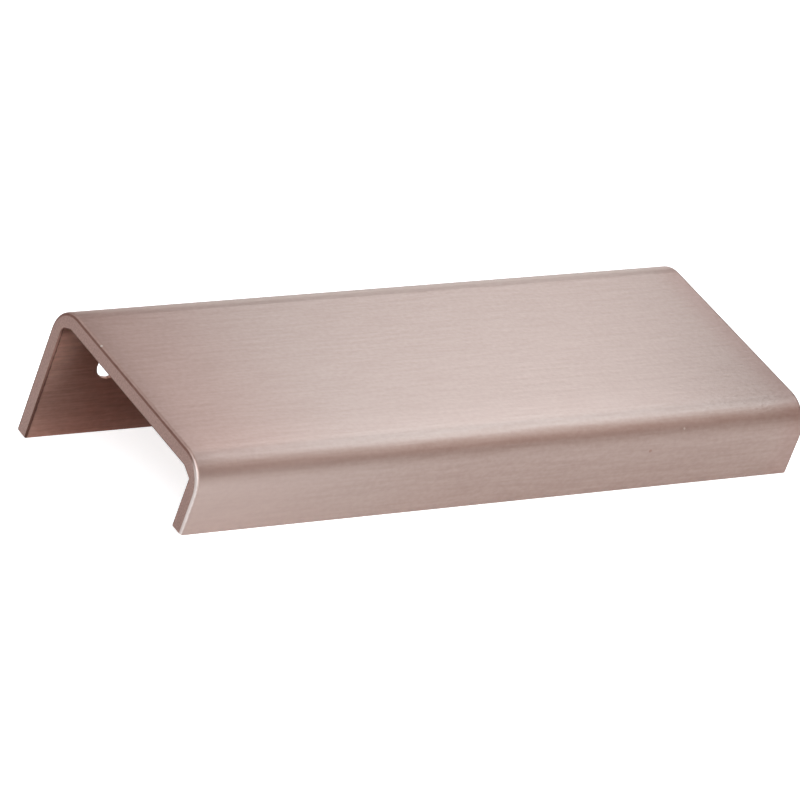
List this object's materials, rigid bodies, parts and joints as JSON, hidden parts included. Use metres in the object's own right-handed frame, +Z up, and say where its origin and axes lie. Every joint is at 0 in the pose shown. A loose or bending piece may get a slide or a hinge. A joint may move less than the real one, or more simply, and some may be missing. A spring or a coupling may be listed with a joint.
{
  "type": "finger pull profile",
  "caption": "Handleless finger pull: a hook-shaped metal profile with a long countersunk screw leg, a broad top plate and a short front lip, brushed along its length.",
  "frame": {"origin": "on the floor, under the middle of the whole box", "axes": "+X along the pull, -Y towards the lip, +Z up; the pull lies on its two feet, so the top plate slopes 16.5 degrees down towards the lip"},
  "size_m": [0.1, 0.0404, 0.0194],
  "materials": {
    "brushed_rose_metal": "brushed along the length, rose copper tint"
  },
  "bodies": {
    "root": {"finger_pull": "brushed_rose_metal"}
  },
  "joints": []
}
